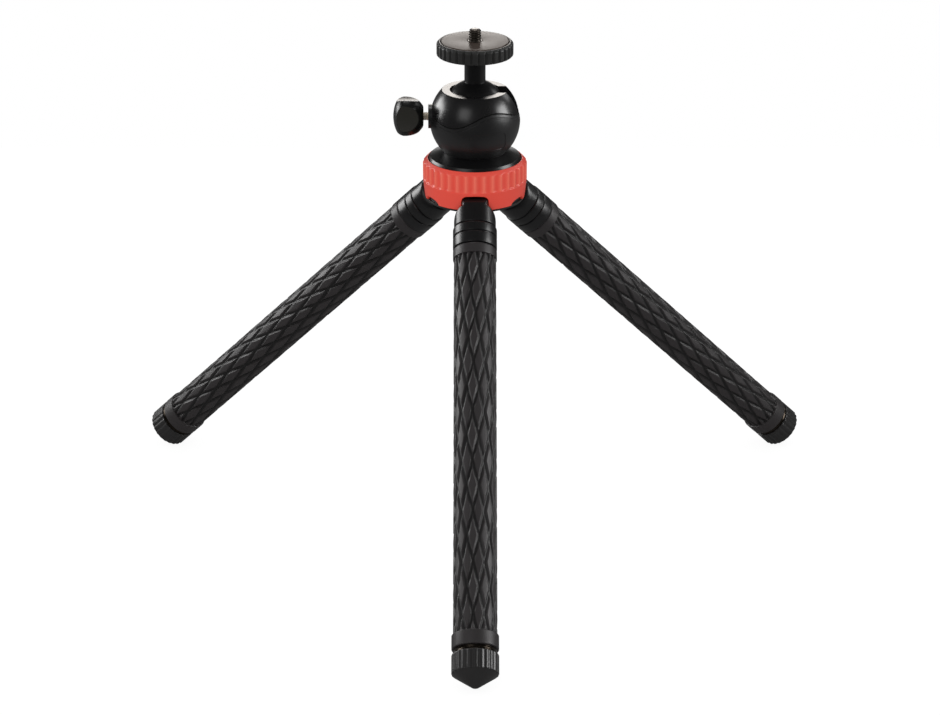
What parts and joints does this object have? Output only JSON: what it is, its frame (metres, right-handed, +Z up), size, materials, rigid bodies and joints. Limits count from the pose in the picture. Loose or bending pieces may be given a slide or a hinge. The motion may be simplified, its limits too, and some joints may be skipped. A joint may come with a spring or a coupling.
{
  "type": "travel tripod",
  "caption": "Small camera tripod: ball head with a drop notch on a hub with a red ring, and bendable rubber-covered legs that also fold at the hub.",
  "frame": {"origin": "centre of the camera pad's top face, where the camera seats round the camera screw", "axes": "+Z up along the camera screw; -Y towards the front leg; +X towards the head's drop notch, so the clamp knob is on -X"},
  "size_m": [0.3532, 0.309, 0.2633],
  "materials": {
    "red_anodised": "satin anodised red",
    "black_casting": "moulded, satin",
    "steel": "turned, plated",
    "satin_black": "black anodised, satin",
    "gloss_black": "black anodised, glossy",
    "nylon": "natural nylon",
    "brass": "turned",
    "camera_pad": "matte, slightly sheened",
    "black_plastic": "moulded, semi-gloss",
    "soft_aluminium": "drawn rod",
    "rubber": "moulded, diamond relief",
    "bronze_ferrule": "polished"
  },
  "bodies": {
    "hub": {"hub_core": "black_casting", "hub_ring": "red_anodised", "hub_cap": "black_casting", "hub_screws": "steel", "hinge_pins": "steel", "pan_screw": "steel"},
    "head": {"pan_washer": "nylon", "head_base": "satin_black", "housing_body": "satin_black", "housing_cover": "gloss_black", "ball_retainer": "brass", "clamp_bush": "brass"},
    "seat": {"ball_seat": "nylon"},
    "ball": {"ball_stem": "gloss_black"},
    "platform": {"platform_wheel": "satin_black", "platform_pad": "camera_pad", "platform_washer": "nylon", "platform_bolt": "steel", "camera_screw": "steel"},
    "brake": {"brake_pad": "nylon"},
    "clamp": {"clamp_screw": "steel", "clamp_knob": "black_plastic"},
    "leg_1": {"leg_1_knuckle": "gloss_black", "leg_1_collar": "gloss_black", "leg_1_core": "soft_aluminium", "leg_1_sleeve_0": "rubber"},
    "leg_1_span_1": {"leg_1_sleeve_1": "rubber"},
    "leg_1_span_2": {"leg_1_sleeve_2": "rubber"},
    "leg_1_span_3": {"leg_1_sleeve_3": "rubber"},
    "leg_1_span_4": {"leg_1_sleeve_4": "rubber"},
    "leg_1_span_5": {"leg_1_sleeve_5": "rubber"},
    "leg_1_span_6": {"leg_1_sleeve_6": "rubber", "leg_1_ferrule": "bronze_ferrule", "leg_1_foot": "satin_black"},
    "leg_2": {"leg_2_knuckle": "gloss_black", "leg_2_collar": "gloss_black", "leg_2_core": "soft_aluminium", "leg_2_sleeve_0": "rubber"},
    "leg_2_span_1": {"leg_2_sleeve_1": "rubber"},
    "leg_2_span_2": {"leg_2_sleeve_2": "rubber"},
    "leg_2_span_3": {"leg_2_sleeve_3": "rubber"},
    "leg_2_span_4": {"leg_2_sleeve_4": "rubber"},
    "leg_2_span_5": {"leg_2_sleeve_5": "rubber"},
    "leg_2_span_6": {"leg_2_sleeve_6": "rubber", "leg_2_ferrule": "bronze_ferrule", "leg_2_foot": "satin_black"},
    "leg_3": {"leg_3_knuckle": "gloss_black", "leg_3_collar": "gloss_black", "leg_3_core": "soft_aluminium", "leg_3_sleeve_0": "rubber"},
    "leg_3_span_1": {"leg_3_sleeve_1": "rubber"},
    "leg_3_span_2": {"leg_3_sleeve_2": "rubber"},
    "leg_3_span_3": {"leg_3_sleeve_3": "rubber"},
    "leg_3_span_4": {"leg_3_sleeve_4": "rubber"},
    "leg_3_span_5": {"leg_3_sleeve_5": "rubber"},
    "leg_3_span_6": {"leg_3_sleeve_6": "rubber", "leg_3_ferrule": "bronze_ferrule", "leg_3_foot": "satin_black"}
  },
  "joints": [
    {"name": "head_pan", "type": "hinge", "parent": "hub", "child": "head", "pos_m": [0, 0, -0.06217], "axis": [0, 0, 1], "continuous": true},
    {"name": "ball_lean_front", "type": "hinge", "parent": "head", "child": "seat", "pos_m": [0, 0, -0.03495], "axis": [1, 0, 0], "range_deg": [-22, 22]},
    {"name": "ball_lean_side", "type": "hinge", "parent": "seat", "child": "ball", "pos_m": [0, 0, -0.03495], "axis": [0, 1, 0], "range_deg": [-22, 90]},
    {"name": "platform_turn", "type": "hinge", "parent": "ball", "child": "platform", "pos_m": [0, 0, -0.0077], "axis": [0, 0, 1], "continuous": true},
    {"name": "brake_press", "type": "slide", "parent": "head", "child": "brake", "axis": [-1, 0, 0], "range_m": [0, 0.000601]},
    {"name": "clamp_turn", "type": "hinge", "parent": "brake", "child": "clamp", "pos_m": [-0.0256, 0, -0.03905], "axis": [-1, 0, 0], "range_deg": [0, 270]},
    {"name": "leg_1_fold", "type": "hinge", "parent": "hub", "child": "leg_1", "pos_m": [0, -0.0135, -0.07593], "axis": [1, 0, 0], "range_deg": [0, 46]},
    {"name": "leg_1_bend_1", "type": "hinge", "parent": "leg_1", "child": "leg_1_span_1", "pos_m": [0, -0.04812, -0.10918], "axis": [-1, 0, 0], "range_deg": [-14, 25], "deforming": ["leg_1_core"]},
    {"name": "leg_1_bend_2", "type": "hinge", "parent": "leg_1_span_1", "child": "leg_1_span_2", "pos_m": [0, -0.07119, -0.13135], "axis": [-1, 0, 0], "range_deg": [-14, 25]},
    {"name": "leg_1_bend_3", "type": "hinge", "parent": "leg_1_span_2", "child": "leg_1_span_3", "pos_m": [0, -0.09427, -0.15352], "axis": [-1, 0, 0], "range_deg": [-14, 25]},
    {"name": "leg_1_bend_4", "type": "hinge", "parent": "leg_1_span_3", "child": "leg_1_span_4", "pos_m": [0, -0.11735, -0.17569], "axis": [-1, 0, 0], "range_deg": [-14, 25]},
    {"name": "leg_1_bend_5", "type": "hinge", "parent": "leg_1_span_4", "child": "leg_1_span_5", "pos_m": [0, -0.14042, -0.19786], "axis": [-1, 0, 0], "range_deg": [-14, 25]},
    {"name": "leg_1_bend_6", "type": "hinge", "parent": "leg_1_span_5", "child": "leg_1_span_6", "pos_m": [0, -0.1635, -0.22003], "axis": [-1, 0, 0], "range_deg": [-14, 25]},
    {"name": "leg_2_fold", "type": "hinge", "parent": "hub", "child": "leg_2", "pos_m": [0.01169, 0.00675, -0.07593], "axis": [-0.5, 0.866, 0], "range_deg": [0, 46]},
    {"name": "leg_2_bend_1", "type": "hinge", "parent": "leg_2", "child": "leg_2_span_1", "pos_m": [0.04167, 0.02406, -0.10918], "axis": [0.5, -0.866, 0], "range_deg": [-14, 25], "deforming": ["leg_2_core"]},
    {"name": "leg_2_bend_2", "type": "hinge", "parent": "leg_2_span_1", "child": "leg_2_span_2", "pos_m": [0.06165, 0.0356, -0.13135], "axis": [0.5, -0.866, 0], "range_deg": [-14, 25]},
    {"name": "leg_2_bend_3", "type": "hinge", "parent": "leg_2_span_2", "child": "leg_2_span_3", "pos_m": [0.08164, 0.04713, -0.15352], "axis": [0.5, -0.866, 0], "range_deg": [-14, 25]},
    {"name": "leg_2_bend_4", "type": "hinge", "parent": "leg_2_span_3", "child": "leg_2_span_4", "pos_m": [0.10162, 0.05867, -0.17569], "axis": [0.5, -0.866, 0], "range_deg": [-14, 25]},
    {"name": "leg_2_bend_5", "type": "hinge", "parent": "leg_2_span_4", "child": "leg_2_span_5", "pos_m": [0.12161, 0.07021, -0.19786], "axis": [0.5, -0.866, 0], "range_deg": [-14, 25]},
    {"name": "leg_2_bend_6", "type": "hinge", "parent": "leg_2_span_5", "child": "leg_2_span_6", "pos_m": [0.1416, 0.08175, -0.22003], "axis": [0.5, -0.866, 0], "range_deg": [-14, 25]},
    {"name": "leg_3_fold", "type": "hinge", "parent": "hub", "child": "leg_3", "pos_m": [-0.01169, 0.00675, -0.07593], "axis": [-0.5, -0.866, 0], "range_deg": [0, 46]},
    {"name": "leg_3_bend_1", "type": "hinge", "parent": "leg_3", "child": "leg_3_span_1", "pos_m": [-0.04167, 0.02406, -0.10918], "axis": [0.5, 0.866, 0], "range_deg": [-14, 25], "deforming": ["leg_3_core"]},
    {"name": "leg_3_bend_2", "type": "hinge", "parent": "leg_3_span_1", "child": "leg_3_span_2", "pos_m": [-0.06165, 0.0356, -0.13135], "axis": [0.5, 0.866, 0], "range_deg": [-14, 25]},
    {"name": "leg_3_bend_3", "type": "hinge", "parent": "leg_3_span_2", "child": "leg_3_span_3", "pos_m": [-0.08164, 0.04713, -0.15352], "axis": [0.5, 0.866, 0], "range_deg": [-14, 25]},
    {"name": "leg_3_bend_4", "type": "hinge", "parent": "leg_3_span_3", "child": "leg_3_span_4", "pos_m": [-0.10162, 0.05867, -0.17569], "axis": [0.5, 0.866, 0], "range_deg": [-14, 25]},
    {"name": "leg_3_bend_5", "type": "hinge", "parent": "leg_3_span_4", "child": "leg_3_span_5", "pos_m": [-0.12161, 0.07021, -0.19786], "axis": [0.5, 0.866, 0], "range_deg": [-14, 25]},
    {"name": "leg_3_bend_6", "type": "hinge", "parent": "leg_3_span_5", "child": "leg_3_span_6", "pos_m": [-0.1416, 0.08175, -0.22003], "axis": [0.5, 0.866, 0], "range_deg": [-14, 25]}
  ],
  "couplings": [
    {"joint": "brake_press", "follows": "clamp_turn", "m_per_rad": 0.00012732}
  ]
}
